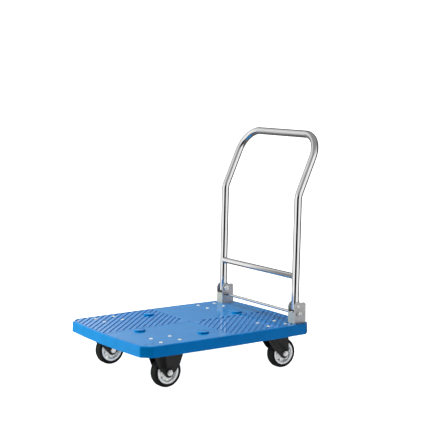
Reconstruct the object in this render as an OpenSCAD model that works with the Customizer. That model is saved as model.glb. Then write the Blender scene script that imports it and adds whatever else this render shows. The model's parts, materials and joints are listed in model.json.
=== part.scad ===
// Folding platform cart: a moulded deck on two fixed and two swivelling casters,
// with a tubular push handle that folds down onto the deck.
// The handle end is +X, the cart's left side is -Y, and the floor is z = 0.

/* [Deck] */
// Length of the deck along its middle
deck_l = 676; // [668:2:700]
// Width of the deck across its middle
deck_w = 514; // [508:2:530]
// How far each end bows out from its corners
end_bow = 10.5; // [6:0.5:14]
// How far each long side bows out from its corners
side_bow = 6.5; // [4:0.5:9]
// Depth of the skirt round the deck
skirt_h = 35; // [34:1:42]
// Thickness of the skirt
skirt_t = 4; // [3:0.5:5]
// Thickness of the load surface
skin_t = 4; // [3:0.5:5]
// Depth of the ribs under the load surface
rib_h = 18; // [16:1:20]
// Length cut off each side at the deck's corners
corner_cut = 28; // [20:1:32]

/* [Handle] */
// Outer diameter of the handle tube
tube_d = 25.4; // [24:0.2:26]
// Wall of the handle tube
tube_wall = 1.5; // [1:0.1:2]
// Distance between the centre lines of the two posts
post_gap = 422; // [400:2:426]
// Height of the handle pivot above the deck
pivot_h = 55; // [54:1:58]
// Height of the back bend above the pivot
bend_h = 368; // [330:2:380]
// Angle of the back bend
bend_angle = 23.5; // [15:0.5:28]
// Length of the inclined part, from the bend to the top bar
top_reach = 220; // [200:1:240]
// Radius of the two corners beside the top bar
top_corner_r = 80; // [60:2:90]
// Backward lean of the upright handle
lean = 1.5; // [0.5:0.1:3]
// Diameter of the cross bar
cross_bar_d = 20; // [18:1:22]
// Height of the cross bar above the pivot
cross_bar_h = 100; // [80:2:120]

/* [Brackets and release rod] */
// Length of a bracket along the deck
bracket_l = 48; // [46:1:50]
// Clear width inside a bracket
bracket_gap = 30; // [30:0.5:32]
// Sheet thickness of the brackets
bracket_t = 2.5; // [2:0.5:3]
// Diameter of the release rod
rod_d = 10; // [9:0.5:10]
// Forward travel of the release rod
rod_travel = 7; // [5:1:7]

/* [Casters] */
// Diameter of the wheels
wheel_d = 100; // [96:1:102]
// Width of the wheels
wheel_w = 32; // [30:1:33]
// Overall height of a caster, from the floor to the top of its plate
caster_h = 131; // [129:1:132]
// Distance of the kingpins ahead of the swivel wheels' axles
trail = 40; // [34:1:40]
// Distance of the front caster plates from the deck's centre
front_caster_x = 208; // [204:1:214]
// Distance of the rear caster plates from the deck's centre
rear_caster_x = 207; // [204:1:210]
// Distance of the casters from the cart's middle plane
caster_y = 180; // [176:1:184]

/* [Hidden] */
$fn = 64;
eps = 0.01;

// Heights
deck_top = caster_h + rib_h + skin_t;
skirt_z = deck_top - skirt_h;
skin_z = deck_top - skin_t;
axle_z = wheel_d / 2;
pivot_z = deck_top + pivot_h;

// Arcs of the deck's ends and sides: the straight between two cut corners is an arc's chord
function bow_radius(chord, bow) = (chord * chord / 4 + bow * bow) / (2 * bow);
corner_x = deck_l / 2 - end_bow;
corner_y = deck_w / 2 - side_bow;
end_r = bow_radius(2 * (corner_y - corner_cut), end_bow);
side_r = bow_radius(2 * (corner_x - corner_cut), side_bow);
bow_fn = 720;

// Shallow seats in the load surface for the brackets and the caster bolts
seat_depth = 0.5;
seat_gap = 0.3;
seat_z = deck_top - seat_depth;
dome_r = 7;

// Handle tube
tube_r = tube_d / 2;
post_y = post_gap / 2;
bend_r = 60;
bend_cut = bend_r * tan(bend_angle / 2);
foot_drop = 10;
// Straight pieces run a little way into the bends, and the bends are a hair thicker than they are
bend_lap = 1;
bend_swell = 0.05;
top_back = bend_h * sin(lean) + top_reach * sin(bend_angle + lean);

// The bounding box is centred on the origin in plan, so the deck sits a little forward of it.
pivot_from_centre = deck_l / 2 - 57;
deck_x = (deck_l / 2 - (pivot_from_centre + top_back + tube_r)) / 2;
pivot_x = deck_x + pivot_from_centre;

// Brackets
bracket_w = bracket_gap + 2 * bracket_t;
ear_r = 15.5;
bracket_front = pivot_x - ear_r;
bracket_wall_h = 38;
bracket_side_h = 69;
bracket_corner_r = 8;
pivot_r = 5;
rod_r = rod_d / 2;
rod_x = pivot_x + 4;
rod_z = deck_top + 31.5;
slot_back = 0.4;
slot_front = rod_travel + slot_back;
side_gap = 0.1;
bracket_bolt_x = [pivot_x, pivot_x + 19];
backing_t = 3;
rod_end_y = post_y + bracket_w / 2;
rod_side_gap = 0.4;

// Latch plates on the foot of each post
latch_t = 1.5;
latch_y = tube_r + 0.05;
latch_rim_r = 14;
sleeve_r = 7;

// Fasteners: radius of a shank, radius across corners and height of a nut
m8_r = 4;
m8_nut_r = 7.5;
m8_nut_h = 6.5;
m10_r = 5;
m10_nut_r = 9.8;
m10_nut_h = 8;
washer_t = 1.5;
bolt_gap = 0.3;
fit_gap = 0.05;

// Casters
plate_l = 100;
plate_w = 82;
plate_t = 3;
plate_z = caster_h - plate_t;
bolt_dx = 35;
bolt_dy = 29.8;
leg_t = 3;
leg_gap = 38;
leg_foot_r = 17;
crown_t = 3;
crown_z = caster_h - 16;
crown_r = 34;
ball_z = (plate_z + crown_z + crown_t) / 2;
race_r = 26;
ball_r = 3;
ball_count = 20;
race_gap = 0.3;
race_in = 22;
race_out = 30;
kingpin_r = 6;
king_washer_t = 3;
hub_r = 19;
bearing_r = 15;
bearing_w = 9;
axle_sleeve_r = 7;
core_r = 38;
rim_in = 31.5;
window_count = 7;
tyre_shoulder_r = 41.5;

// Caster centres: x, y
front_left = [deck_x - front_caster_x, -caster_y];
front_right = [deck_x - front_caster_x, caster_y];
rear_left = [deck_x + rear_caster_x, -caster_y];
rear_right = [deck_x + rear_caster_x, caster_y];
casters = [front_left, front_right, rear_left, rear_right];

// Features on the deck, from its centre
button_spots = [[-59, 169], [-59, -169], [-215, -33], [215, 33]];
drain_spots = [[-300, 210], [-300, -210], [-274, 212], [-274, -212]];
long_rib_y = [-118, -59, 0, 59, 118];
cross_rib_x = [-265, -150, -75, 0, 75, 150, 262];

// ---- Shared shapes ----

// Rectangle with round corners, centred on the origin
module round_rect(l, w, r) {
    square([l - 2 * r, w], center = true);
    square([l, w - 2 * r], center = true);
    for (sx = [-1, 1], sy = [-1, 1])
        translate([sx * (l / 2 - r), sy * (w / 2 - r)]) circle(r);
}

// Turns a shape drawn in x and y, and extruded upwards, so that its y points up
module upright(y0) {
    translate([0, y0, 0]) rotate([90, 0, 0]) children();
}

// Cylinder along Y, centred on y
module y_cylinder(r, w, y = 0) {
    translate([0, y, 0]) rotate([90, 0, 0]) cylinder(r = r, h = w, center = true);
}

// Cross-section of the handle tube
module tube_section(swell = 0) {
    difference() {
        circle(tube_r + swell);
        circle(tube_r - tube_wall - swell);
    }
}

module hex_nut(r, h, hole) {
    difference() {
        cylinder(r = r, h = h, $fn = 6);
        translate([0, 0, -1]) cylinder(r = hole, h = h + 2);
    }
}

module washer(r, h, hole) {
    difference() {
        cylinder(r = r, h = h);
        translate([0, 0, -1]) cylinder(r = hole, h = h + 2);
    }
}

// Low domed head that rests on z = 0
module domed_head(r, h) {
    dome_r = (r * r + h * h) / (2 * h);
    intersection() {
        translate([0, 0, h - dome_r]) sphere(dome_r);
        cylinder(r = r, h = h + 1);
    }
}

module at_caster_bolts(centres) {
    for (c = centres, sx = [-1, 1], sy = [-1, 1])
        translate([c[0] + sx * bolt_dx, c[1] + sy * bolt_dy, 0]) children();
}

module at_brackets() {
    for (side = [-1, 1]) translate([0, side * post_y, 0]) children();
}

// Draws its children once for each post, as mirror images
module both_sides() {
    for (side = [0, 1]) mirror([0, side, 0]) children();
}

// Frame of the handle: origin on the pivot, z along the posts
module handle_frame() {
    translate([pivot_x, 0, pivot_z]) rotate([0, lean, 0]) children();
}

// ---- Deck ----

// Plan of the deck, drawn in by a margin all round
module deck_plan(margin = 0) {
    corner_line = corner_x + corner_y - corner_cut;
    intersection() {
        translate([deck_l / 2 - end_r, 0]) circle(end_r - margin, $fn = bow_fn);
        translate([end_r - deck_l / 2, 0]) circle(end_r - margin, $fn = bow_fn);
        translate([0, deck_w / 2 - side_r]) circle(side_r - margin, $fn = bow_fn);
        translate([0, side_r - deck_w / 2]) circle(side_r - margin, $fn = bow_fn);
        rotate(45) square(sqrt(2) * corner_line - 2 * margin, center = true);
    }
}

module deck_shell() {
    translate([0, 0, skirt_z]) difference() {
        linear_extrude(skirt_h) deck_plan();
        translate([0, 0, -1]) linear_extrude(skirt_h - skin_t + 1) deck_plan(skirt_t);
    }
}

module deck_ribs() {
    rib_t = 3;
    translate([0, 0, caster_h]) linear_extrude(rib_h + 1) intersection() {
        deck_plan(skirt_t / 2);
        union() {
            for (y = long_rib_y) translate([0, y]) square([deck_l, rib_t], center = true);
            for (x = cross_rib_x) translate([x, 0]) square([rib_t, deck_w], center = true);
        }
    }
}

module deck_bosses() {
    boss_r = 10;
    translate([0, 0, caster_h]) linear_extrude(rib_h + 1)
        for (sx = [-front_caster_x, rear_caster_x], sy = [-1, 1], bx = [-1, 1], by = [-1, 1])
            translate([sx + bx * bolt_dx, sy * caster_y + by * bolt_dy]) circle(boss_r);
}

module deck() {
    button_r = 19;
    button_h = 5;
    drain_r = 3;
    color("dodgerblue") difference() {
        translate([deck_x, 0, 0]) {
            deck_shell();
            deck_ribs();
            deck_bosses();
            for (spot = button_spots)
                translate([spot[0], spot[1], deck_top - 1]) cylinder(r = button_r, h = button_h + 1);
        }
        at_caster_bolts(casters) translate([0, 0, caster_h - 1])
            cylinder(r = m8_r + bolt_gap, h = rib_h + skin_t + 2);
        at_brackets() for (x = bracket_bolt_x)
            translate([x, 0, skin_z - 1]) cylinder(r = m8_r + bolt_gap, h = skin_t + 2);
        for (spot = drain_spots)
            translate([deck_x + spot[0], spot[1], skin_z - 1]) cylinder(r = drain_r, h = skin_t + 2);
        at_caster_bolts(casters) translate([0, 0, seat_z]) cylinder(r = dome_r + seat_gap, h = 2);
        at_brackets() translate([bracket_front - seat_gap, -bracket_w / 2 - seat_gap, seat_z])
            cube([bracket_l + 2 * seat_gap, bracket_w + 2 * seat_gap, 2]);
    }
}

// ---- Handle brackets ----

// Side plate: its front corner is round about the pivot, and its back corner has a smaller radius
module bracket_side_profile() {
    back = bracket_front + bracket_l;
    top = seat_z + bracket_side_h;
    difference() {
        union() {
            translate([bracket_front, seat_z]) square([bracket_l, pivot_z - seat_z]);
            translate([pivot_x, seat_z]) square([back - pivot_x, bracket_side_h - bracket_corner_r]);
            translate([pivot_x, seat_z]) square([back - bracket_corner_r - pivot_x, bracket_side_h]);
            translate([back - bracket_corner_r, top - bracket_corner_r]) circle(bracket_corner_r);
            translate([pivot_x, pivot_z]) circle(ear_r);
        }
        translate([pivot_x, pivot_z]) circle(pivot_r + 0.1);
        slot_r = rod_r + 0.5;
        for (x = [rod_x - slot_front, rod_x + slot_back]) translate([x, rod_z]) circle(slot_r);
        translate([rod_x - slot_front, rod_z - slot_r])
            square([slot_front + slot_back, 2 * slot_r]);
    }
}

module bracket() {
    difference() {
        union() {
            for (y = [-bracket_gap / 2, bracket_w / 2])
                upright(y) linear_extrude(bracket_t) bracket_side_profile();
            translate([bracket_front, -bracket_w / 2, seat_z])
                cube([bracket_t, bracket_w, bracket_wall_h]);
            translate([bracket_front, -bracket_w / 2, seat_z])
                cube([bracket_l, bracket_w, bracket_t]);
        }
        for (x = bracket_bolt_x)
            translate([x, 0, seat_z - 1]) cylinder(r = m8_r + bolt_gap, h = bracket_t + 2);
    }
}

module left_bracket() { color("silver") translate([0, -post_y, 0]) bracket(); }

module right_bracket() { color("silver") translate([0, post_y, 0]) bracket(); }

module bracket_backing_plates() {
    plate = [40, 30, backing_t];
    middle_x = (bracket_bolt_x[0] + bracket_bolt_x[1]) / 2;
    color("silver") at_brackets() difference() {
        translate([middle_x - plate[0] / 2, -plate[1] / 2, skin_z - backing_t]) cube(plate);
        for (x = bracket_bolt_x) translate([x, 0, skin_z - backing_t - 1])
            cylinder(r = m8_r + bolt_gap, h = backing_t + 2);
    }
}

module bracket_bolts() {
    head_h = 5.3;
    head_z = seat_z + bracket_t;
    tip_z = skin_z - 12;
    color("lightgray") at_brackets() for (x = bracket_bolt_x) {
        translate([x, 0, head_z]) cylinder(r = m8_nut_r, h = head_h, $fn = 6);
        translate([x, 0, tip_z]) cylinder(r = m8_r, h = head_z - tip_z + 1);
    }
}

module bracket_nuts() {
    color("lightgray") at_brackets() for (x = bracket_bolt_x)
        translate([x, 0, skin_z - backing_t - m8_nut_h]) hex_nut(m8_nut_r, m8_nut_h, m8_r + fit_gap);
}

// ---- Handle pivot ----

module pivot_bolts() {
    head_r = 7.5;
    head_h = 3;
    shank = bracket_w + m10_nut_h + 2;
    color("lightgray") both_sides() translate([pivot_x, post_y + bracket_w / 2, pivot_z]) {
        rotate([-90, 0, 0]) domed_head(head_r, head_h);
        translate([0, 1 - shank / 2, 0]) y_cylinder(pivot_r, shank + 2);
    }
}

module pivot_nuts() {
    color("lightgray") both_sides() translate([pivot_x, post_y - bracket_w / 2, pivot_z])
        rotate([90, 0, 0]) hex_nut(m10_nut_r, m10_nut_h, pivot_r + fit_gap);
}

module pivot_washers() {
    washer_r = 9;
    t = bracket_gap / 2 - latch_y - latch_t - 2 * side_gap;
    color("lightgray") at_brackets() for (side = [-1, 1])
        translate([pivot_x, side * (bracket_gap / 2 - side_gap), pivot_z])
            rotate([side * 90, 0, 0]) washer(washer_r, t, pivot_r + fit_gap);
}

// ---- Handle ----

// Frame of the inclined part: origin at the height of the back bend, z along the inclined tubes
module incline_frame() {
    translate([0, 0, bend_h]) rotate([0, bend_angle, 0]) children();
}

module handle_side() {
    post_l = foot_drop + bend_h - bend_cut + bend_lap;
    incline_l = top_reach - top_corner_r - bend_cut + 2 * bend_lap;
    translate([0, post_y, -foot_drop]) linear_extrude(post_l) tube_section();
    translate([bend_r, post_y, bend_h - bend_cut]) rotate([90, 0, 0]) rotate([0, 0, 180 - bend_angle])
        rotate_extrude(angle = bend_angle) translate([bend_r, 0]) tube_section(bend_swell);
    incline_frame() {
        translate([0, post_y, bend_cut - bend_lap]) linear_extrude(incline_l) tube_section();
        translate([0, post_y - top_corner_r, top_reach - top_corner_r]) rotate([90, 0, 90])
            rotate_extrude(angle = 90) translate([top_corner_r, 0]) tube_section(bend_swell);
    }
}

module handle_tube() {
    bar_l = 2 * (post_y - top_corner_r + bend_lap);
    color("gainsboro") handle_frame() difference() {
        union() {
            both_sides() handle_side();
            incline_frame() translate([0, bar_l / 2, top_reach]) rotate([90, 0, 0])
                linear_extrude(bar_l) tube_section();
        }
        both_sides() y_cylinder(sleeve_r + fit_gap, 2 * tube_d, post_y);
    }
}

module cross_bar() {
    wall = 1.5;
    seam = 0.02;
    color("gainsboro") handle_frame() translate([0, 0, cross_bar_h]) difference() {
        y_cylinder(cross_bar_d / 2, post_gap);
        y_cylinder(cross_bar_d / 2 - wall, post_gap + 2);
        both_sides() translate([0, post_y, -tube_d]) cylinder(r = tube_r + seam, h = 2 * tube_d);
    }
}

// A rim round the pivot, and a hook that hangs behind the release rod and clears it all round
module latch_profile() {
    hook_x = rod_x - pivot_x + rod_r + rod_side_gap;
    hook_t = 7;
    rod_drop = pivot_z - rod_z;
    notch_top = -rod_drop + rod_r + 1.2;
    hook_tip = -rod_drop - rod_r;
    difference() {
        union() {
            circle(latch_rim_r);
            translate([0, notch_top]) square([hook_x + hook_t, -notch_top]);
            translate([hook_x, hook_tip]) square([hook_t, -hook_tip]);
        }
        circle(sleeve_r + fit_gap);
    }
}

module latch_plates() {
    color("darkgray") handle_frame() both_sides() translate([0, post_y, 0])
        for (y = [-latch_y, latch_y + latch_t])
            upright(y) linear_extrude(latch_t) rotate(lean) latch_profile();
}

module pivot_sleeves() {
    sleeve_w = 2 * (latch_y + latch_t);
    color("darkgray") handle_frame() both_sides() difference() {
        y_cylinder(sleeve_r, sleeve_w, post_y);
        y_cylinder(pivot_r + fit_gap, sleeve_w + 2, post_y);
    }
}

module post_plugs() {
    plug_t = 2;
    plug_in = 2.5;
    color("black") handle_frame() both_sides() translate([0, post_y, -foot_drop]) {
        translate([0, 0, -plug_t]) cylinder(r = tube_r, h = plug_t);
        translate([0, 0, -eps]) cylinder(r = tube_r - tube_wall - fit_gap, h = plug_in);
    }
}

// ---- Release rod ----

module release_rod() {
    thread_l = 10;
    color("gainsboro") translate([rod_x, 0, rod_z]) y_cylinder(rod_r, 2 * (rod_end_y + thread_l));
}

module rod_washers() {
    color("lightgray") both_sides() translate([rod_x, rod_end_y + rod_side_gap, rod_z])
        rotate([-90, 0, 0]) washer(9.5, washer_t, rod_r + fit_gap);
}

module rod_dome_nuts() {
    nut_h = 7;
    nut_r = 9.2;
    cap_r = 7.6;
    bore_l = 8.6;
    color("lightgray") both_sides() translate([rod_x, rod_end_y + rod_side_gap + washer_t, rod_z])
        rotate([-90, 0, 0]) difference() {
            union() {
                cylinder(r = nut_r, h = nut_h, $fn = 6);
                translate([0, 0, nut_h - 1]) intersection() {
                    sphere(cap_r);
                    cylinder(r = cap_r + 1, h = cap_r + 1);
                }
            }
            translate([0, 0, -1]) cylinder(r = rod_r + fit_gap, h = bore_l + 1);
        }
}

// Round wire wound along a helix, from x = 0 to x = length
module coil_spring(coil_r, wire_r, length, turns) {
    sides = 8;
    rings = turns * 16;
    points = [for (i = [0:rings], k = [0:sides - 1])
        let (t = i / rings, a = 360 * turns * t, b = 360 * k / sides,
            r = coil_r + wire_r * cos(b))
            [wire_r + (length - 2 * wire_r) * t + wire_r * sin(b), r * cos(a), r * sin(a)]];
    walls = [for (i = [0:rings - 1], k = [0:sides - 1])
        let (n = (k + 1) % sides)
            [i * sides + k, i * sides + n, (i + 1) * sides + n, (i + 1) * sides + k]];
    first = [[for (k = [sides - 1:-1:0]) k]];
    last = [[for (k = [0:sides - 1]) rings * sides + k]];
    polyhedron(points, concat(walls, first, last), convexity = 10);
}

module rod_springs() {
    clearance = 0.2;
    start = bracket_front + bracket_t + clearance;
    color("gray") at_brackets() translate([start, 0, rod_z])
        coil_spring(coil_r = 4.2, wire_r = 0.5, length = rod_x - rod_r - clearance - start, turns = 3);
}

// ---- Caster hardware ----

module caster_bolts() {
    head_h = 2.6;
    tip_z = caster_h - plate_t - washer_t - m8_nut_h - 1;
    color("white") at_caster_bolts(casters) {
        translate([0, 0, seat_z]) domed_head(dome_r, head_h);
        translate([0, 0, tip_z]) cylinder(r = m8_r, h = seat_z - tip_z + 1);
    }
}

module caster_washers() {
    color("lightgray") at_caster_bolts(casters)
        translate([0, 0, plate_z - washer_t]) washer(7.5, washer_t, m8_r + fit_gap);
}

module caster_nuts() {
    color("lightgray") at_caster_bolts(casters)
        translate([0, 0, plate_z - washer_t - m8_nut_h]) hex_nut(m8_nut_r, m8_nut_h, m8_r + fit_gap);
}

module caster_plate() {
    difference() {
        translate([0, 0, plate_z]) linear_extrude(plate_t) round_rect(plate_l, plate_w, 8);
        at_caster_bolts([[0, 0]]) translate([0, 0, plate_z - 1])
            cylinder(r = m8_r + bolt_gap, h = plate_t + 2);
    }
}

// Side of a fork leg, with the axle at x = axle_x
module leg_profile(axle_x, outline) {
    difference() {
        union() {
            polygon(outline);
            translate([axle_x, axle_z]) circle(leg_foot_r);
        }
        translate([axle_x, axle_z]) circle(m10_r + 0.1);
    }
}

module fork_legs(axle_x, outline, rib) {
    outer = leg_gap / 2 + leg_t;
    rib_t = 1.5;
    for (side = [0, 1]) mirror([0, side, 0]) {
        upright(outer) linear_extrude(leg_t) leg_profile(axle_x, outline);
        upright(outer + rib_t) linear_extrude(rib_t + eps) polygon(rib);
    }
}

// ---- Front casters ----

module fixed_fork() {
    shoulder_x = 53;
    neck_x = 37;
    neck_z = axle_z + 16;
    foot_x = 14.5;
    foot_z = axle_z - 9;
    top_x = plate_l / 2 - 1;
    outline = [[-top_x, plate_z + 1], [-shoulder_x, plate_z - 22], [-neck_x, neck_z],
        [-foot_x, foot_z], [foot_x, foot_z], [neck_x, neck_z], [shoulder_x, plate_z - 22],
        [top_x, plate_z + 1]];
    rib = [[-15, plate_z - 8], [-11, axle_z + 17], [11, axle_z + 17], [15, plate_z - 8]];
    caster_plate();
    fork_legs(0, outline, rib);
}

module front_left_fork() {
    color("dimgray") translate([front_left[0], front_left[1], 0]) fixed_fork();
}

module front_right_fork() {
    color("dimgray") translate([front_right[0], front_right[1], 0]) fixed_fork();
}

module axle_bolt() {
    outer = leg_gap / 2 + leg_t;
    head_h = 6.4;
    tail = m10_nut_h + 2.5;
    translate([0, 0, axle_z]) {
        translate([0, outer, 0]) rotate([-90, 0, 0]) cylinder(r = m10_nut_r, h = head_h, $fn = 6);
        y_cylinder(m10_r, 2 * outer + tail + 1, (1 - tail) / 2);
    }
}

module axle_nut() {
    translate([0, -leg_gap / 2 - leg_t, axle_z]) rotate([90, 0, 0])
        hex_nut(m10_nut_r, m10_nut_h, m10_r + fit_gap);
}

module axle_sleeve() {
    translate([0, 0, axle_z]) difference() {
        y_cylinder(axle_sleeve_r, leg_gap - 0.1);
        y_cylinder(m10_r + fit_gap, leg_gap + 2);
    }
}

// Moves a caster part to each of the given centres; the outer side of the cart stays the nut side
module at_casters(centres, axle_x) {
    for (c = centres) translate([c[0] + axle_x, c[1], 0])
        mirror([0, c[1] > 0 ? 1 : 0, 0]) children();
}

module front_axle_bolts() { color("lightgray") at_casters([front_left, front_right], 0) axle_bolt(); }

module front_axle_nuts() { color("lightgray") at_casters([front_left, front_right], 0) axle_nut(); }

module front_axle_sleeves() {
    color("lightgray") at_casters([front_left, front_right], 0) axle_sleeve();
}

// ---- Rear casters ----

module race_ring(z, h, groove_z) {
    difference() {
        translate([0, 0, z]) difference() {
            cylinder(r = race_out, h = h);
            translate([0, 0, -1]) cylinder(r = race_in, h = h + 2);
        }
        translate([0, 0, groove_z]) rotate_extrude() translate([race_r, 0]) circle(ball_r + race_gap);
    }
}

module rear_swivel_plates() {
    color("dimgray") for (c = [rear_left, rear_right]) translate([c[0], c[1], 0]) {
        difference() {
            caster_plate();
            translate([0, 0, plate_z - 1]) cylinder(r = kingpin_r + fit_gap, h = plate_t + 2);
        }
        race_ring(ball_z + 1, plate_z - ball_z - 1 + eps, ball_z);
    }
}

module rear_kingpins() {
    head_r = 10;
    head_h = 4;
    bottom = crown_z - king_washer_t - 0.4 - head_h;
    color("gray") for (c = [rear_left, rear_right]) translate([c[0], c[1], bottom]) {
        cylinder(r = head_r, h = head_h);
        cylinder(r = kingpin_r, h = caster_h - bottom);
    }
}

module swivel_fork() {
    front_x = 30;
    back_x = 44;
    lower_front_x = 10;
    foot_z = axle_z - 9;
    outline = [[-front_x, crown_z + crown_t], [-front_x + 2, crown_z - 14],
        [-lower_front_x, axle_z + 25], [trail - 14.5, foot_z], [trail + 14.5, foot_z],
        [trail + leg_foot_r, axle_z + 6], [trail + leg_foot_r - 1, crown_z - 14],
        [back_x, crown_z + crown_t]];
    rib = [[-4, crown_z - 4], [trail - 8, axle_z + 17], [trail + 11, axle_z + 17],
        [22, crown_z - 4]];
    leg_y = leg_gap / 2 + leg_t;
    difference() {
        union() {
            fork_legs(trail, outline, rib);
            translate([0, 0, crown_z]) cylinder(r = crown_r, h = crown_t);
            translate([-front_x + 4, -leg_y, crown_z]) cube([front_x + back_x - 6, 2 * leg_y, crown_t]);
            race_ring(crown_z + crown_t - eps, ball_z - 1 - crown_z - crown_t, ball_z);
        }
        translate([0, 0, crown_z - 1]) cylinder(r = kingpin_r + race_gap, h = crown_t + 2);
    }
    translate([0, 0, crown_z - king_washer_t]) washer(11, king_washer_t, kingpin_r + race_gap);
}

module race_balls() {
    for (i = [0:ball_count - 1]) rotate([0, 0, i * 360 / ball_count])
        translate([race_r, 0, ball_z]) sphere(ball_r, $fn = 24);
}

module dust_cover() {
    cover_t = 1.5;
    cover_h = plate_z - crown_z - crown_t - 1.5;
    translate([0, 0, crown_z + crown_t]) washer(crown_r, cover_h, crown_r - cover_t);
}

module at_caster(c, axle_x = 0) {
    at_casters([c], axle_x) children();
}

module rear_left_fork() { color("dimgray") at_caster(rear_left) swivel_fork(); }

module rear_left_race_balls() { color("silver") at_caster(rear_left) race_balls(); }

module rear_left_dust_cover() { color("gray") at_caster(rear_left) dust_cover(); }

module rear_left_axle_bolt() { color("lightgray") at_caster(rear_left, trail) axle_bolt(); }

module rear_left_axle_nut() { color("lightgray") at_caster(rear_left, trail) axle_nut(); }

module rear_left_axle_sleeve() { color("lightgray") at_caster(rear_left, trail) axle_sleeve(); }

module rear_right_fork() { color("dimgray") at_caster(rear_right) swivel_fork(); }

module rear_right_race_balls() { color("silver") at_caster(rear_right) race_balls(); }

module rear_right_dust_cover() { color("gray") at_caster(rear_right) dust_cover(); }

module rear_right_axle_bolt() { color("lightgray") at_caster(rear_right, trail) axle_bolt(); }

module rear_right_axle_nut() { color("lightgray") at_caster(rear_right, trail) axle_nut(); }

module rear_right_axle_sleeve() { color("lightgray") at_caster(rear_right, trail) axle_sleeve(); }

// ---- Wheels ----

// Turns a profile, drawn with x outwards and y along the axle, about the axle
module spun() {
    translate([0, 0, axle_z]) rotate([90, 0, 0]) rotate_extrude() children();
}

// Flat tread with a small step and rounded shoulders on each side
module tyre() {
    r = wheel_d / 2;
    w = wheel_w / 2;
    tread_w = w * 0.55;
    step = 1.2;
    shoulder_w = w * 0.8;
    shoulder_r = 5;
    spun() {
        translate([core_r, -tread_w]) square([r - core_r, 2 * tread_w]);
        translate([core_r, -shoulder_w]) square([r - step - core_r - 0.5, 2 * shoulder_w]);
        for (side = [-1, 1]) intersection() {
            translate([r - step - shoulder_r - 1, side * (w - shoulder_r)]) circle(shoulder_r);
            translate([core_r, -w]) square([r - core_r, 2 * w]);
        }
        translate([core_r, -w]) square([tyre_shoulder_r - core_r, 2 * w]);
    }
}

// Hub, web with triangular windows, and rim; phase turns the windows about the axle
module core(phase) {
    w = wheel_w / 2;
    web_w = w - 7;
    lip = 4;
    hub_w = w - 0.5;
    pocket = hub_w - bearing_w - 0.1;
    window_in = hub_r + 2.5;
    window_out = rim_in + 1;
    half_angle = 17;
    difference() {
        spun() {
            translate([bearing_r + fit_gap, -hub_w]) square([hub_r - bearing_r - fit_gap, 2 * hub_w]);
            translate([bearing_r - lip, -pocket]) square([hub_r - bearing_r + lip, 2 * pocket]);
            translate([hub_r - 1, -web_w]) square([rim_in - hub_r + 2, 2 * web_w]);
            translate([rim_in, -w + 0.8]) square([core_r - rim_in - fit_gap, 2 * w - 1.6]);
        }
        for (i = [0:window_count - 1])
            translate([0, w, axle_z]) rotate([90, 0, 0]) rotate([0, 0, phase + i * 360 / window_count])
                linear_extrude(wheel_w) polygon([[window_in, 0],
                    [window_out * cos(half_angle), window_out * sin(half_angle)],
                    [window_out * cos(half_angle), -window_out * sin(half_angle)]]);
    }
}

module bearings() {
    w = wheel_w / 2;
    for (side = [-1, 1]) translate([0, side * (w - 0.5 - bearing_w / 2), axle_z]) difference() {
        y_cylinder(bearing_r, bearing_w);
        y_cylinder(axle_sleeve_r + fit_gap, bearing_w + 2);
    }
}

module front_left_tyre() { color("black") at_caster(front_left) tyre(); }

module front_left_core() { color("whitesmoke") at_caster(front_left) core(13); }

module front_left_bearings() { color("silver") at_caster(front_left) bearings(); }

module front_right_tyre() { color("black") at_caster(front_right) tyre(); }

module front_right_core() { color("whitesmoke") at_caster(front_right) core(40); }

module front_right_bearings() { color("silver") at_caster(front_right) bearings(); }

module rear_left_tyre() { color("black") at_caster(rear_left, trail) tyre(); }

module rear_left_core() { color("whitesmoke") at_caster(rear_left, trail) core(30); }

module rear_left_bearings() { color("silver") at_caster(rear_left, trail) bearings(); }

module rear_right_tyre() { color("black") at_caster(rear_right, trail) tyre(); }

module rear_right_core() { color("whitesmoke") at_caster(rear_right, trail) core(5); }

module rear_right_bearings() { color("silver") at_caster(rear_right, trail) bearings(); }

deck();
left_bracket();
right_bracket();
bracket_backing_plates();
bracket_bolts();
bracket_nuts();
pivot_bolts();
pivot_nuts();
pivot_washers();
caster_bolts();
caster_washers();
caster_nuts();
front_left_fork();
front_right_fork();
front_axle_bolts();
front_axle_nuts();
front_axle_sleeves();
rear_swivel_plates();
rear_kingpins();
rod_springs();
handle_tube();
cross_bar();
latch_plates();
pivot_sleeves();
post_plugs();
release_rod();
rod_dome_nuts();
rod_washers();
rear_left_fork();
rear_left_race_balls();
rear_left_dust_cover();
rear_left_axle_bolt();
rear_left_axle_nut();
rear_left_axle_sleeve();
rear_right_fork();
rear_right_race_balls();
rear_right_dust_cover();
rear_right_axle_bolt();
rear_right_axle_nut();
rear_right_axle_sleeve();
front_left_tyre();
front_left_core();
front_left_bearings();
front_right_tyre();
front_right_core();
front_right_bearings();
rear_left_tyre();
rear_left_core();
rear_left_bearings();
rear_right_tyre();
rear_right_core();
rear_right_bearings();
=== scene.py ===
import json
import math

import bmesh
import bpy
from mathutils import Matrix, Vector


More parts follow.
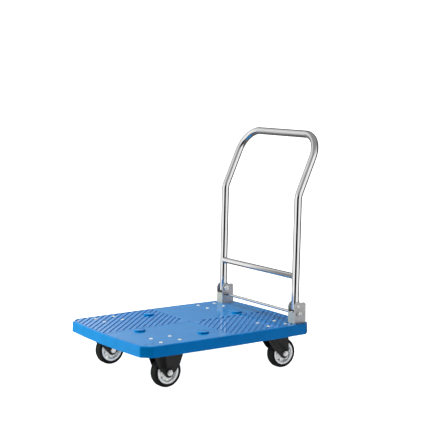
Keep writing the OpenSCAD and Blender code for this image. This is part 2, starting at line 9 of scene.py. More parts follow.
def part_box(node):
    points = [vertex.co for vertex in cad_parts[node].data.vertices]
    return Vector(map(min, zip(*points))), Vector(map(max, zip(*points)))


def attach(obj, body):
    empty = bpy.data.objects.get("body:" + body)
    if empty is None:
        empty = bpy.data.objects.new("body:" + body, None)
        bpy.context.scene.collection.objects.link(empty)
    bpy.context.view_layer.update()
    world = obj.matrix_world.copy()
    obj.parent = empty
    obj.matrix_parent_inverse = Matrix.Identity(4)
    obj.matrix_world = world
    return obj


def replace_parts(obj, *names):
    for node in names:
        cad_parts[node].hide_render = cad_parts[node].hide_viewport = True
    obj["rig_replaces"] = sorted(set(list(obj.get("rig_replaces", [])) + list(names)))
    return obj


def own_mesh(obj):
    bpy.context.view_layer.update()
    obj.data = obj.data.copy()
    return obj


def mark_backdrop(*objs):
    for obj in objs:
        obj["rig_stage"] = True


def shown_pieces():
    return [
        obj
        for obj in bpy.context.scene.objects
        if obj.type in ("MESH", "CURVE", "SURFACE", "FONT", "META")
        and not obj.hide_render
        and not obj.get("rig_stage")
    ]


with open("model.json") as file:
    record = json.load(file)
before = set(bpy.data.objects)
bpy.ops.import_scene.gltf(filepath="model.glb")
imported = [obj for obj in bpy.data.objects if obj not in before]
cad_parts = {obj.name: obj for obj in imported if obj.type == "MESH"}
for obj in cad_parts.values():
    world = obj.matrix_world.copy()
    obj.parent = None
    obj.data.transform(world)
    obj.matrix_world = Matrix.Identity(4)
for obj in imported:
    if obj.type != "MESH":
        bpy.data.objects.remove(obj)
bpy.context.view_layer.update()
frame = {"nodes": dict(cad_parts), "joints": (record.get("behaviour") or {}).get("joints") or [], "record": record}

RECORD = frame["record"]
JOINTS = {j["name"]: j for j in frame["joints"]}
BODY_OF = {n: b for b, nodes in RECORD["behaviour"]["bodies"].items() for n in nodes}
SLOT_OF = {s["node"]: s["material_slot"] for s in RECORD["subparts"]}
DECK_TOP = Vector(next(m for m in RECORD["mounts"] if m["name"] == "deck_top")["pos_m"])
PIVOT = Vector(JOINTS["handle_fold"]["pos_m"])


# ---- Camera, floor and lights ----

CAMERA_PLACE = DECK_TOP + Vector((-2.1657, -3.3397, 0.8572))
CAMERA_TURN_DEG = (82.873, -0.07, -34.161)
CAMERA_LENS_MM = 101.09

FLOOR_RADIUS, FLOOR_GREY, FLOOR_GLOW = 1.9, 0.36, 2.9
BACKDROP_RADIUS, BACKDROP_GLOW = 14, 1.5

LIGHT_AIM = (0, 0, 0.2)
# Name, place, size, power and colour
SOFTBOXES = (
    ("front_box", (-2.4, 1.6, 0.9), (1.4, 1.6), 172, (0.86, 1.0, 0.76)),
    ("near_box", (1.6, -3.0, 0.9), (1.6, 1.6), 14, (0.92, 0.94, 1.0)),
    ("top_box", (0.2, 0.4, 3.0), (2.4, 2.4), 160, (0.98, 1.0, 0.96)),
)

# Panels seen in reflections: (share of a turn about Z, brightness), in four layers of direction height
LOW_PANELS = (
    (0.0, 1.0), (0.046, 1.0), (0.062, 0.01), (0.195, 0.01), (0.215, 1.0), (0.385, 1.0), (0.41, 0.05),
    (0.55, 0.05), (0.60, 0.2), (0.75, 0.2), (0.815, 0.3), (0.845, 0.5), (0.865, 0.9), (0.885, 1.0))
BAND_PANELS = (
    (0.0, 1.0), (0.046, 1.0), (0.07, 0.15), (0.185, 0.15), (0.215, 1.0), (0.385, 1.0), (0.41, 0.1),
    (0.643, 0.12), (0.650, 0.32), (0.656, 0.5), (0.667, 0.62), (0.672, 1.3), (0.69, 1.3), (0.72, 0.2),
    (0.80, 0.3), (0.835, 1.0))
HIGH_PANELS = (
    (0.0, 0.6), (0.05, 0.6), (0.08, 0.3), (0.18, 0.3), (0.215, 0.6), (0.385, 0.6), (0.42, 0.12),
    (0.72, 0.12), (0.745, 0.55), (0.80, 0.7), (0.86, 0.75))
CEILING, UNDERNEATH = 0.3, 0.12
LOW_TO_BAND, BAND_TO_HIGH = (0.18, 0.21), (0.30, 0.42)
HIGH_TO_CEILING, LOW_TO_UNDERNEATH = (0.6, 0.8), (-0.28, -0.5)


def make_camera():
    data = bpy.data.cameras.new("camera")
    data.lens = CAMERA_LENS_MM
    data.sensor_width = 36.0
    data.clip_start = 0.05
    data.clip_end = 200
    camera = bpy.data.objects.new("camera", data)
    camera.location = CAMERA_PLACE
    camera.rotation_euler = [math.radians(a) for a in CAMERA_TURN_DEG]
    bpy.context.scene.collection.objects.link(camera)
    bpy.context.scene.camera = camera


def flat_material(name, grey, glow):
    material = bpy.data.materials.new(name)
    material.use_nodes = True
    shader = material.node_tree.nodes["Principled BSDF"]
    shader.inputs["Base Color"].default_value = (grey, grey, grey, 1)
    shader.inputs["Roughness"].default_value = 0.8
    shader.inputs["Specular IOR Level"].default_value = 0.0
    shader.inputs["Emission Color"].default_value = (grey, grey, grey, 1)
    shader.inputs["Emission Strength"].default_value = glow
    return material


def softbox(name, place, size, power, color):
    """A rectangular light that no reflection shows."""
    data = bpy.data.lights.new(name, "AREA")
    data.shape = "RECTANGLE"
    data.size, data.size_y = size
    data.energy = power
    data.color = color
    light = bpy.data.objects.new(name, data)
    light.location = place
    light.rotation_euler = (Vector(LIGHT_AIM) - Vector(place)).to_track_quat("-Z", "Y").to_euler()
    light.visible_camera = False
    light.visible_glossy = False
    bpy.context.scene.collection.objects.link(light)


def color_ramp(tree, source, stops):
    ramp = tree.nodes.new("ShaderNodeValToRGB")
    tree.links.new(source, ramp.inputs["Fac"])
    elements = ramp.color_ramp.elements
    while len(elements) > 1:
        elements.remove(elements[0])
    for i, (position, value) in enumerate(stops):
        element = elements[0] if i == 0 else elements.new(position)
        element.position = position
        element.color = (value, value, value, 1)
    return ramp.outputs["Color"]


def map_range(tree, source, start, end):
    node = tree.nodes.new("ShaderNodeMapRange")
    node.inputs["From Min"].default_value = start
    node.inputs["From Max"].default_value = end
    tree.links.new(source, node.inputs["Value"])
    return node.outputs[0]


def mix_colors(tree, factor, a, b):
    node = tree.nodes.new("ShaderNodeMix")
    node.data_type = "RGBA"
    tree.links.new(factor, node.inputs["Factor"])
    for socket, value in (("A", a), ("B", b)):
        if isinstance(value, float):
            node.inputs[socket].default_value = (value, value, value, 1)
        else:
            tree.links.new(value, node.inputs[socket])
    return node.outputs["Result"]


def make_world():
    """White panels to the left and right of the camera, a dark gap between them, dark behind and below."""
    world = bpy.data.worlds.new("studio")
    world.use_nodes = True
    tree = world.node_tree
    parts = tree.nodes.new("ShaderNodeSeparateXYZ")
    tree.links.new(tree.nodes.new("ShaderNodeTexCoord").outputs["Generated"], parts.inputs[0])
    turn = tree.nodes.new("ShaderNodeMath")
    turn.operation = "ARCTAN2"
    tree.links.new(parts.outputs["Y"], turn.inputs[0])
    tree.links.new(parts.outputs["X"], turn.inputs[1])
    share = map_range(tree, turn.outputs[0], -math.pi, math.pi)
    seen = color_ramp(tree, share, LOW_PANELS)
    for heights, layer in (
            (LOW_TO_BAND, color_ramp(tree, share, BAND_PANELS)),
            (BAND_TO_HIGH, color_ramp(tree, share, HIGH_PANELS)),
            (HIGH_TO_CEILING, CEILING),
            (LOW_TO_UNDERNEATH, UNDERNEATH)):
        seen = mix_colors(tree, map_range(tree, parts.outputs["Z"], *heights), seen, layer)
    tree.links.new(seen, tree.nodes["Background"].inputs["Color"])
    tree.nodes["Background"].inputs["Strength"].default_value = 1.0
    world.cycles_visibility.diffuse = False
    bpy.context.scene.world = world


def make_stage():
    bpy.ops.mesh.primitive_circle_add(vertices=128, radius=FLOOR_RADIUS, fill_type="NGON")
    floor = bpy.context.object
    floor.name = "floor"
    floor.data.materials.append(flat_material("floor_white", FLOOR_GREY, FLOOR_GLOW))
    floor.visible_glossy = False
    bpy.ops.mesh.primitive_uv_sphere_add(segments=64, ring_count=32, radius=BACKDROP_RADIUS)
    sweep = bpy.context.object
    sweep.name = "backdrop"
    sweep.data.materials.append(flat_material("backdrop_white", 1.0, BACKDROP_GLOW))
    sweep.visible_diffuse = False
    sweep.visible_glossy = False
    sweep.visible_transmission = False
    sweep.visible_shadow = False
    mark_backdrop(floor, sweep)
    make_world()
    bpy.context.scene.view_settings.view_transform = "Standard"
    for box in SOFTBOXES:
        softbox(*box)


# ---- Materials ----

class Nodes:
    """Short names for the parts of a node tree."""

    def __init__(self, material):
        self.tree = material.node_tree
        self.shader = self.tree.nodes["Principled BSDF"]
        self.where = self.tree.nodes.new("ShaderNodeTexCoord").outputs["Object"]

    def link(self, a, b):
        self.tree.links.new(a, b)

    def scaled(self, scale):
        node = self.tree.nodes.new("ShaderNodeMapping")
        node.inputs["Scale"].default_value = scale if isinstance(scale, tuple) else (scale,) * 3
        self.link(self.where, node.inputs["Vector"])
        return node.outputs["Vector"]

    def noise(self, scale, detail=3.0, rough=0.55):
        node = self.tree.nodes.new("ShaderNodeTexNoise")
        node.inputs["Scale"].default_value = 1.0
        node.inputs["Detail"].default_value = detail
        node.inputs["Roughness"].default_value = rough
        self.link(self.scaled(scale), node.inputs["Vector"])
        return node.outputs["Fac"]

    def spread(self, source, low, high, start=0.3, end=0.7):
        node = self.tree.nodes.new("ShaderNodeMapRange")
        for name, value in (("From Min", start), ("From Max", end), ("To Min", low), ("To Max", high)):
            node.inputs[name].default_value = value
        self.link(source, node.inputs["Value"])
        return node.outputs["Result"]

    def mix(self, factor, a, b):
        node = self.tree.nodes.new("ShaderNodeMix")
        node.data_type = "RGBA"
        node.inputs["A"].default_value = (*a, 1)
        node.inputs["B"].default_value = (*b, 1)
        self.link(factor, node.inputs["Factor"])
        return node.outputs["Result"]

    def bump(self, height, strength, distance, after=None):
        node = self.tree.nodes.new("ShaderNodeBump")
        node.inputs["Strength"].default_value = strength
        node.inputs["Distance"].default_value = distance
        self.link(height, node.inputs["Height"])
        if after is not None:
            self.link(after, node.inputs["Normal"])
        return node.outputs["Normal"]


def new_material(name, metallic=0.0, **sockets):
    material = bpy.data.materials.new(name)
    material.use_nodes = True
    nodes = Nodes(material)
    nodes.shader.inputs["Metallic"].default_value = metallic
    for socket, value in sockets.items():
        nodes.shader.inputs[socket.replace("_", " ")].default_value = value
    return material, nodes


def plastic(name, low, high, rough, grain=None, ior_level=0.5, tint=(1, 1, 1)):
    """Moulded plastic: slow colour drift and cloudy gloss; grain is a scale, a strength and a depth."""
    drift_scale, cloud_scale, skin_scale, skin_strength, skin_depth = 14, 45, 260, 0.08, 0.0002
    material, n = new_material(name, Specular_IOR_Level=ior_level, Specular_Tint=(*tint, 1))
    n.link(n.mix(n.spread(n.noise(drift_scale), 0, 1), low, high), n.shader.inputs["Base Color"])
    n.link(n.spread(n.noise(cloud_scale, 4), *rough), n.shader.inputs["Roughness"])
    normal = n.bump(n.noise(skin_scale, 2), skin_strength, skin_depth)
    if grain:
        scale, strength, depth = grain
        normal = n.bump(n.noise(scale, 2), strength, depth, normal)
    n.link(normal, n.shader.inputs["Normal"])
    return material


def metal(name, low, high, rough, brush, strength=0.1, metallic=1.0):
    """Metal with a drawn or brushed grain: brush is the grain's scale along X, Y and Z."""
    cloud_scale, scratch_depth = 30, 0.0001
    material, n = new_material(name, metallic)
    grain = n.noise(brush, 4)
    cloud = n.noise(cloud_scale, 3)
    n.link(n.mix(n.spread(cloud, 0, 1), low, high), n.shader.inputs["Base Color"])
    n.link(n.spread(grain, *rough), n.shader.inputs["Roughness"])
    n.link(n.bump(grain, strength, scratch_depth), n.shader.inputs["Normal"])
    return material


BLUE_GLOSS = (0.0, 0.25, 0.9)


def make_materials():
    return {
        "blue_plastic": plastic(
            "blue_plastic", (0.0, 0.122, 0.37), (0.001, 0.139, 0.42), (0.06, 0.14),
            ior_level=0.6, tint=BLUE_GLOSS),
        "blue_grain": plastic(
            "blue_grain", (0.001, 0.125, 0.36), (0.002, 0.141, 0.40), (0.10, 0.19),
            grain=(900, 0.15, 0.0003), ior_level=0.38, tint=BLUE_GLOSS),
        "polished_stainless": metal(
            "polished_stainless", (0.80, 0.80, 0.81), (0.88, 0.88, 0.89), (0.03, 0.07),
            brush=(900, 900, 30), strength=0.015),
        "satin_stainless": metal(
            "satin_stainless", (0.45, 0.44, 0.45), (0.53, 0.52, 0.53), (0.34, 0.48),
            brush=(60, 60, 900), strength=0.12, metallic=0.6),
        "bright_zinc": metal(
            "bright_zinc", (0.74, 0.74, 0.74), (0.84, 0.84, 0.84), (0.2, 0.36), brush=420.0, metallic=0.55),
        "spring_steel": metal(
            "spring_steel", (0.36, 0.36, 0.38), (0.48, 0.48, 0.5), (0.25, 0.4), brush=700.0),
        "bearing_steel": metal(
            "bearing_steel", (0.6, 0.6, 0.62), (0.7, 0.7, 0.72), (0.12, 0.25), brush=500.0, strength=0.05),
        "black_steel": plastic(
            "black_steel", (0.005, 0.005, 0.005), (0.009, 0.009, 0.009), (0.25, 0.4),
            grain=(650, 0.12, 0.0003), ior_level=0.3),
        "black_rubber": plastic(
            "black_rubber", (0.006, 0.006, 0.006), (0.012, 0.012, 0.012), (0.45, 0.65),
            grain=(800, 0.3, 0.0004), ior_level=0.25),
        "white_plastic": plastic(
            "white_plastic", (0.78, 0.79, 0.80), (0.86, 0.87, 0.88), (0.3, 0.45)),
        "black_plastic": plastic(
            "black_plastic", (0.012, 0.012, 0.012), (0.02, 0.02, 0.02), (0.35, 0.5)),
    }


# ---- Mesh tools ----

def finish_piece(name, bm, slot, body, nodes=(), materials=None, bevel=None, sharp=35):
    """Turns a bmesh into a piece that rides on a body and stands for CAD nodes."""
    bmesh.ops.recalc_face_normals(bm, faces=bm.faces)
    mesh = bpy.data.meshes.new(name)
    bm.to_mesh(mesh)
    bm.free()
    obj = bpy.data.objects.new(name, mesh)
    bpy.context.scene.collection.objects.link(obj)
    for key in materials or [slot]:
        mesh.materials.append(MATERIALS[key])
    mesh.polygons.foreach_set("use_smooth", [True] * len(mesh.polygons))
    mesh.set_sharp_from_angle(angle=math.radians(sharp))
    for width, segments, method in bevel or ():
        modifier = obj.modifiers.new("bevel", "BEVEL")
        modifier.width = width
        modifier.segments = segments
        modifier.limit_method = method
        modifier.angle_limit = math.radians(30)
        modifier.harden_normals = True
        modifier.miter_outer = "MITER_ARC"
    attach(obj, body)
    if nodes:
        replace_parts(obj, *nodes)
    return obj


def cad_copy(node):
    """A clean copy of a CAD node's mesh, with its flat faces whole."""
    bm = bmesh.new()
    bm.from_mesh(frame["nodes"][node].data)
    bmesh.ops.remove_doubles(bm, verts=bm.verts, dist=2e-6)
    bmesh.ops.dissolve_limit(bm, angle_limit=math.radians(0.4), verts=bm.verts, edges=bm.edges)
    return bm


def refine(node, width=0.0004, segments=2):
    """The CAD shape with rounded edges in place of sharp ones."""
    finish_piece(node + "_finished", cad_copy(node), SLOT_OF[node], BODY_OF[node], [node],
                 bevel=[(width, segments, "ANGLE")])


def add_lathe(bm, profile, place, axis, segments):
    """Revolves (radius, distance along the axis) points about an axis through place."""
    turn = Vector((0, 0, 1)).rotation_difference(Vector(axis)).to_matrix()
    rings = []
    for r, h in profile:
        if r < 1e-7:
            rings.append([bm.verts.new(Vector(place) + turn @ Vector((0, 0, h)))])
            continue
        rings.append([bm.verts.new(Vector(place) + turn @ Vector((
            r * math.cos(2 * math.pi * k / segments), r * math.sin(2 * math.pi * k / segments), h)))
            for k in range(segments)])
    for a, b in zip(rings, rings[1:]):
        for k in range(segments):
            n = (k + 1) % segments
            corner = [a[k % len(a)], a[n % len(a)], b[n % len(b)], b[k % len(b)]]
            corner = [v for i, v in enumerate(corner) if v not in corner[:i]]
            bm.faces.new(corner)
    if len(rings[0]) > 1 and profile[0] == profile[-1]:
        bmesh.ops.remove_doubles(bm, verts=rings[0] + rings[-1], dist=1e-7)


def add_tube(bm, rings):
    """Joins rings of points in order, and closes both ends."""
    for a, b in zip(rings, rings[1:]):
        for k in range(len(a)):
            n = (k + 1) % len(a)
            bm.faces.new((a[k], a[n], b[n], b[k]))
    bm.faces.new(rings[0])
    bm.faces.new(rings[-1])


def add_sweep(bm, path, radius, segments):
    """A round rod along a path of points."""
    points = [Vector(p) for p in path]
    tangents = [(points[min(i + 1, len(points) - 1)] - points[max(i - 1, 0)]).normalized()
                for i in range(len(points))]
    side = tangents[0].orthogonal().normalized()
    rings = []
    for point, tangent in zip(points, tangents):
        side = (side - tangent * side.dot(tangent)).normalized()
        up = tangent.cross(side)
        rings.append([bm.verts.new(point + radius * (
            side * math.cos(2 * math.pi * k / segments) + up * math.sin(2 * math.pi * k / segments)))
            for k in range(segments)])
    add_tube(bm, rings)


def add_slab(bm, outer, holes, z0, z1, material=0):
    """A flat plate with holes, between two heights."""
    levels = []
    for z in (z0, z1):
        rings, edges = [], []
        for ring in [outer, *holes]:
            verts = [bm.verts.new((x, y, z)) for x, y in ring]
            edges += [bm.edges.new((verts[i - 1], verts[i])) for i in range(len(verts))]
            rings.append(verts)
        made = bmesh.ops.triangle_fill(bm, use_beauty=True, use_dissolve=False, edges=edges)
        faces = [f for f in made["geom"] if isinstance(f, bmesh.types.BMFace)]
        for face in faces:
            face.material_index = material
        inner = [e for e in dict.fromkeys(e for f in faces for e in f.edges) if len(e.link_faces) == 2]
        bmesh.ops.dissolve_limit(bm, angle_limit=0.01, verts=[], edges=inner)
        levels.append(rings)
    for low, high in zip(*levels):
        for i in range(len(low)):
            bm.faces.new((low[i - 1], low[i], high[i], high[i - 1])).material_index = material


def circle_points(x, y, r, count):
    return [(x + r * math.cos(2 * math.pi * k / count), y + r * math.sin(2 * math.pi * k / count))
            for k in range(count)]


def clip(polygon, normal, limit):
    """The part of a convex polygon where normal . point <= limit."""
    kept = []
    for i, b in enumerate(polygon):
        a = polygon[i - 1]
        da = a[0] * normal[0] + a[1] * normal[1] - limit
        db = b[0] * normal[0] + b[1] * normal[1] - limit
        if da * db < 0:
            t = da / (da - db)
            kept.append((a[0] + t * (b[0] - a[0]), a[1] + t * (b[1] - a[1])))
        if db <= 0:
            kept.append(b)
    return kept


def arc(cx, cy, r, start, end, count):
    """Points on an arc between two angles in degrees."""
    return [(cx + r * math.cos(math.radians(start + (end - start) * k / count)),
             cy + r * math.sin(math.radians(start + (end - start) * k / count))) for k in range(count + 1)]


# ---- Deck ----

DECK_L, DECK_W, END_BOW, SIDE_BOW, CORNER_CUT = 0.676, 0.514, 0.0105, 0.0065, 0.028
DIAGONAL = math.sqrt(0.5)

SHEET_T = 0.004                          # thickness of the top sheet
EDGE_R, DRAFT, BORDER = 0.0055, 0.0014, 0.0095
FLOOR_DOWN, PLAIN_DOWN = 0.0022, 0.0004  # floor of the pattern and plain fields, below the top
OVERLAP = 0.001                          # how far raised parts reach into the floor
LINE, GROOVE = 0.0035, 0.0016            # half width of the raised cross, and the groove inside the border
BLUNT = 0.041                            # distance of the ribs' blunt corner from the deck's centre
RIB_PITCH, RIB_W, SHORTEST_RIB = 0.0175, 0.0112, 0.008
DRAINS, DRAIN_R = ((-0.300, 0.210), (-0.300, -0.210), (-0.274, 0.212), (-0.274, -0.212)), 0.003

BRACE_T, BRACE_DOWN, BRACE_TOP_DOWN, BRACE_MARGIN = 0.003, 0.022, 0.0035, 0.002
BRACES_Y = (-0.118, -0.059, 0, 0.059, 0.118)
BRACES_X = (-0.265, -0.150, -0.075, 0, 0.075, 0.150, 0.262)

CASTER_X, CASTER_Y = (-0.208, 0.207), (-0.180, 0.180)
BOLT_DX, BOLT_DY, BOSS_R = 0.035, 0.0298, 0.010
CASTER_BOLTS = [(DECK_TOP.x + x + sx * BOLT_DX, y + sy * BOLT_DY)
                for x in CASTER_X for y in CASTER_Y for sx in (-1, 1) for sy in (-1, 1)]

BUTTONS = ((-0.059, 0.169), (-0.059, -0.169), (-0.215, -0.033), (0.215, 0.033))
BUTTON_PROFILE = ((0, 0.0050), (0.012, 0.0050), (0.0165, 0.0047), (0.0182, 0.0038), (0.0188, 0.0022),
                  (0.0190, 0.0006), (0.0190, -0.0030), (0, -0.0030))


def rounded(points, r, count=6):
    """Rounds the sharp corners of a closed outline."""
    gentle = math.radians(10)
    made = []
    for i, b in enumerate(points):
        a, c = Vector(points[i - 1]), Vector(points[(i + 1) % len(points)])
        b = Vector(b)
        u, v = (a - b).normalized(), (c - b).normalized()
        turn = math.pi - u.angle(v)
        if turn < gentle:
            made.append(tuple(b))
            continue
        reach = r * math.tan(turn / 2)
        centre = b + (u + v).normalized() * r / math.cos(turn / 2)
        first, last = b + u * reach - centre, b + v * reach - centre
        side = math.copysign(1, first.x * last.y - first.y * last.x)
        for k in range(count + 1):
            t = side * turn * k / count
            made.append((centre.x + first.x * math.cos(t) - first.y * math.sin(t),
                         centre.y + first.x * math.sin(t) + first.y * math.cos(t)))
    return made


def deck_plan(margin):
    """The deck's plan drawn in by a margin: four bowed sides and four cut corners, from its centre."""
    corner_r, smallest_r = 0.009, 0.003
    corner_x, corner_y = DECK_L / 2 - END_BOW, DECK_W / 2 - SIDE_BOW
    radius = lambda half, bow: (half * half + bow * bow) / (2 * bow)
    end_r, side_r = radius(corner_y - CORNER_CUT, END_BOW), radius(corner_x - CORNER_CUT, SIDE_BOW)
    line = corner_x + corner_y - CORNER_CUT - margin / DIAGONAL
    steps = 16

    def meet(centre, arc_r):
        """Where an arc about (centre, 0) meets the cut corner's line, as (along, across)."""
        low, high = 0.0, line
        for _ in range(60):
            across = (low + high) / 2
            if centre + math.sqrt(arc_r ** 2 - across ** 2) + across < line:
                low = across
            else:
                high = across
        return low

    end_c, side_c = DECK_L / 2 - end_r, DECK_W / 2 - side_r
    end_y, side_x = meet(end_c, end_r - margin), meet(side_c, side_r - margin)
    end = [(end_c + math.sqrt((end_r - margin) ** 2 - y * y), y)
           for y in [end_y * k / steps for k in range(-steps, steps + 1)]]
    side = [(x, side_c + math.sqrt((side_r - margin) ** 2 - x * x))
            for x in [side_x * k / steps for k in range(steps, -steps - 1, -1)]]
    whole = end + side + [(-x, -y) for x, y in end + side]
    return rounded(whole, max(corner_r - margin / 2, smallest_r))


def add_ring_shell(bm, profile):
    """A closed profile of (distance in from the deck's edge, height), carried round the deck."""
    rings = []
    for inset, z in profile:
        rings.append([bm.verts.new((DECK_TOP.x + x, y, z)) for x, y in deck_plan(inset)])
    for i, ring in enumerate(rings):
        before = rings[i - 1]
        for k in range(len(ring)):
            bm.faces.new((before[k - 1], before[k], ring[k], ring[k - 1]))


def shifted(points):
    """Points about the deck's centre, moved to the deck."""
    return [(x + DECK_TOP.x, y) for x, y in points]


def strip(outline, normal, middle, width):
    """The part of an outline within half a width of the line where normal . point = middle."""
    near = clip(outline, normal, middle + width / 2)
    return clip(near, (-normal[0], -normal[1]), -(middle - width / 2))


def drain_rings(sx=0, sy=0):
    """The outlines of the drain holes, or of those in one quarter."""
    return [shifted(circle_points(x, y, DRAIN_R, 20)) for x, y in DRAINS if x * sx >= 0 and y * sy >= 0]


def add_deck_shell(bm):
    """The skirt, the rounded edge and the raised border."""
    top, foot = DECK_TOP.z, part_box("deck")[0].z
    outer = [(0.0009, foot), (0.0001, foot + 0.0008), (DRAFT, top - EDGE_R)]
    for degrees in range(15, 91, 15):
        a = math.radians(degrees)
        outer.append((DRAFT + EDGE_R - EDGE_R * math.cos(a), top - EDGE_R + EDGE_R * math.sin(a)))
    inner = [(BORDER - 0.0005, top), (BORDER, top - 0.0005), (BORDER, top - SHEET_T), (0.0045, top - SHEET_T),
             (0.004, foot + 0.0008), (0.0034, foot)]
    add_ring_shell(bm, outer + inner)
    add_slab(bm, shifted(deck_plan(BORDER - 0.001)), drain_rings(), top - SHEET_T, top - FLOOR_DOWN)


def add_deck_pattern(bm):
    """Plain and ribbed quarters, the raised cross between them, and the smooth pad where they meet."""
    top = DECK_TOP.z
    base = top - FLOOR_DOWN - OVERLAP
    edge = deck_plan(BORDER + GROOVE)
    for sx in (-1, 1):
        for sy in (-1, 1):
            field = clip(clip(edge, (-sx, 0), -LINE), (0, -sy), -LINE)
            if sx * sy > 0:
                add_slab(bm, shifted(field), drain_rings(sx, sy), base, top - PLAIN_DOWN, 1)
                continue
            field = clip(field, (-sx * DIAGONAL, -sy * DIAGONAL), -BLUNT)
            across = [(y - x) * DIAGONAL for x, y in field]
            for i in range(math.ceil(min(across) / RIB_PITCH) - 1, int(max(across) / RIB_PITCH) + 2):
                rib = strip(field, (-DIAGONAL, DIAGONAL), i * RIB_PITCH, RIB_W)
                if len(rib) > 2 and max(x for x, _ in rib) - min(x for x, _ in rib) > SHORTEST_RIB:
                    add_slab(bm, shifted(rib), [], base, top)
    for a, b in ((DECK_L / 2 - BORDER, LINE), (LINE, DECK_W / 2 - BORDER)):
        add_slab(bm, shifted([(-a, -b), (a, -b), (a, b), (-a, b)]), [], base, top)
    reach, corner, pad_down = (BLUNT - 0.006) / DIAGONAL, 0.004, 0.0002
    for s in (-1, 1):
        wedge = [(-s * corner, s * corner), (-s * corner, s * reach), (-s * reach, s * corner)]
        add_slab(bm, shifted(wedge), [], base, top - pad_down)


def add_deck_braces(bm):
    """The ribs and the bolt bosses under the top sheet."""
    low, high = DECK_TOP.z - BRACE_DOWN, DECK_TOP.z - BRACE_TOP_DOWN
    inside = deck_plan(BRACE_MARGIN)
    for y in BRACES_Y:
        add_slab(bm, shifted(strip(inside, (0, 1), y, BRACE_T)), [], low, high)
    for x in BRACES_X:
        add_slab(bm, shifted(strip(inside, (1, 0), x, BRACE_T)), [], low, high)
    for x, y in CASTER_BOLTS:
        add_slab(bm, circle_points(x, y, BOSS_R, 32), [], low, high)


def make_deck():
    bm = bmesh.new()
    add_deck_shell(bm)
    add_deck_pattern(bm)
    add_deck_braces(bm)
    for x, y in BUTTONS:
        add_lathe(bm, BUTTON_PROFILE, (DECK_TOP.x + x, y, DECK_TOP.z), (0, 0, 1), 64)
    finish_piece("deck_moulding", bm, "blue_plastic", "chassis", ["deck"], ["blue_plastic", "blue_grain"],
                 [(0.0006, 2, "ANGLE")])


# ---- Handle ----

TUBE_R, POST_Y = 0.0127, 0.211
BEND_H, BEND_ANGLE, BEND_R = 0.368, 23.5, 0.060
TOP_REACH, TOP_R, LEAN, FOOT = 0.220, 0.080, 1.5, 0.010
CROSS_BAR_R, CROSS_BAR_H = 0.010, 0.100
# The bead's growth beyond the bar, and its distance from the post
WELD_BEAD = ((0.0024, 0.0), (0.0020, 0.0014), (0.0009, 0.0028), (0.0, 0.0036))
WELD_RIPPLES, RIPPLE_DEPTH, WELD_SINK = 9, 0.0002, 0.0006


def handle_matrix():
    """From the handle's own axes, with the pivot at its origin, to its place at rest."""
    return Matrix.Translation(PIVOT) @ Matrix.Rotation(math.radians(LEAN), 4, "Y")


def handle_path():
    """The middle of the tube: up one post, round its back bend and top corner, and down the other side."""
    cut = BEND_R * math.tan(math.radians(BEND_ANGLE / 2))
    tilt = Matrix.Translation((0, 0, BEND_H)) @ Matrix.Rotation(math.radians(BEND_ANGLE), 4, "Y")
    side = [(0, POST_Y, -FOOT), (0, POST_Y, 0.1), (0, POST_Y, BEND_H - cut)]
    side += [(BEND_R - x, POST_Y, z) for x, z in arc(0, BEND_H - cut, BEND_R, 0, BEND_ANGLE, 8)[1:]]
    side.append(tuple(tilt @ Vector((0, POST_Y, TOP_REACH - TOP_R - 0.02))))
    side += [tuple(tilt @ Vector((0, y, z))) for y, z in
             arc(POST_Y - TOP_R, TOP_REACH - TOP_R, TOP_R, 0, 90, 16)]
    far = [(x, -y, z) for x, y, z in reversed(side)]
    return [handle_matrix() @ Vector(p) for p in side + far]


def make_handle():
    bm = bmesh.new()
    add_sweep(bm, handle_path(), TUBE_R, 48)
    finish_piece("handle_bend", bm, "polished_stainless", "handle", ["handle_tube"])


def make_cross_bar():
    """A straight bar whose ends follow the posts' round, each with a rippled weld bead."""
    bm = bmesh.new()
    count = 48
    rings = []
    for sign in (-1, 1):
        for grow, back in WELD_BEAD if sign < 0 else reversed(WELD_BEAD):
            ring = []
            for k in range(count):
                a = 2 * math.pi * k / count
                x, z = (CROSS_BAR_R + grow) * math.cos(a), (CROSS_BAR_R + grow) * math.sin(a)
                y = POST_Y - math.sqrt(max(TUBE_R ** 2 - x * x, 0)) - back
                if back == 0:
                    y += WELD_SINK
                if grow > 0:
                    y += RIPPLE_DEPTH * math.sin(WELD_RIPPLES * a)
                ring.append(bm.verts.new(handle_matrix() @ Vector((x, sign * y, CROSS_BAR_H + z))))
            rings.append(ring)
    add_tube(bm, rings)
    finish_piece("cross_bar_welded", bm, "polished_stainless", "handle", ["cross_bar"])


# ---- Brackets ----

BRACKET_T, BEND_TOP, OUTER_BEND_R, INNER_SHARE = 0.0025, 0.03, 0.0040, 0.4


def make_bracket(node):
    """The CAD bracket with its two upright front edges rounded like bent sheet."""
    low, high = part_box(node)
    bm = cad_copy(node)
    layer = bm.edges.layers.float.get("bevel_weight_edge") or bm.edges.layers.float.new("bevel_weight_edge")
    for edge in bm.edges:
        a, b = (v.co for v in edge.verts)
        upright = abs(a.x - b.x) + abs(a.y - b.y) < 1e-5
        if not upright or min(a.z, b.z) >= low.z + BEND_TOP:
            continue
        for y, inward in ((low.y, 1), (high.y, -1)):
            for depth, weight in ((0, 1.0), (BRACKET_T, INNER_SHARE)):
                if abs(a.x - low.x - depth) < 1e-4 and abs(a.y - y - inward * depth) < 1e-4:
                    edge[layer] = weight
    finish_piece(node + "_pressed", bm, "satin_stainless", "chassis", [node],
                 bevel=[(OUTER_BEND_R, 5, "WEIGHT"), (0.0003, 2, "ANGLE")])


# ---- Wheels ----

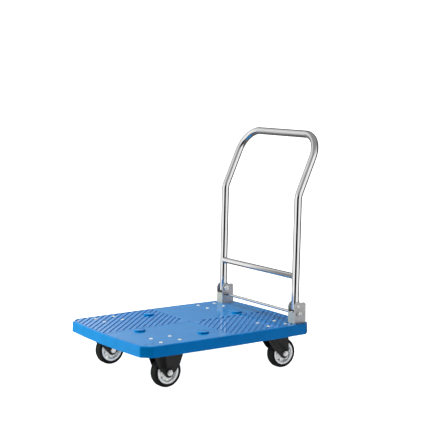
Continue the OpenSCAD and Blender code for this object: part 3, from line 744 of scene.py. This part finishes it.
def make_tyre(node):
    """A ring with a rounded tread, a shoulder step on each side and two fine grooves round the tread."""
    low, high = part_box(node)
    centre = (low + high) / 2
    r = (high.z - low.z) / 2
    w = (high.y - low.y) / 2
    half = [(0.0381, w - 0.0002), (0.0405, w - 0.0001), (0.0416, w - 0.0008), (0.0420, w - 0.0020),
            (0.0436, w - 0.0008), (0.0452, w - 0.0004), (0.0468, w - 0.0012), (0.0480, w - 0.0030),
            (0.0486, w - 0.0052), (0.0489, w - 0.0066), (r - 0.0004, w - 0.0072), (r - 0.0001, w - 0.0082),
            (r, w - 0.0100)]
    groove = [(r, 0.0042), (r - 0.0009, 0.0036), (r - 0.0009, 0.0024), (r, 0.0018)]
    profile = half + groove
    profile += [(a, -b) for a, b in reversed(profile)]
    profile.append(profile[0])
    bm = bmesh.new()
    add_lathe(bm, profile, centre, (0, 1, 0), 128)
    finish_piece(node + "_moulded", bm, "black_rubber", BODY_OF[node], [node], sharp=40)


def make_springs():
    """Two coil springs of round wire, wound along X."""
    low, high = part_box("rod_springs")
    bm = bmesh.new()
    coil_r, wire_r, turns = 0.0042, 0.0005, 3
    length = high.x - low.x
    steps = turns * 24
    for sign in (-1, 1):
        path = []
        for i in range(steps + 1):
            t = i / steps
            a = 2 * math.pi * turns * t
            path.append((low.x + wire_r + (length - 2 * wire_r) * t,
                         sign * POST_Y + coil_r * math.cos(a),
                         (low.z + high.z) / 2 + coil_r * math.sin(a)))
        add_sweep(bm, path, wire_r, 12)
    springs = finish_piece("rod_springs_wound", bm, "spring_steel", "chassis", ["rod_springs"])
    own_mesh(springs)


# ---- Build ----

make_camera()
make_stage()
MATERIALS = make_materials()
make_deck()
make_handle()
make_cross_bar()
for side in ("left", "right"):
    make_bracket(side + "_bracket")
for wheel in ("front_left", "front_right", "rear_left", "rear_right"):
    make_tyre(wheel + "_tyre")
    refine(wheel + "_core", 0.0005)
    refine(wheel + "_bearings", 0.0003)
    refine(wheel + "_fork", 0.0006, 3)
make_springs()

DONE = {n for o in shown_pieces() for n in o.get("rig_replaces", [])}
for node in sorted(n for n in frame["nodes"] if n not in DONE):
    if node.endswith("race_balls"):
        # Round already, so only the material changes
        frame["nodes"][node].data.materials.clear()
        frame["nodes"][node].data.materials.append(MATERIALS[SLOT_OF[node]])
    else:
        refine(node)
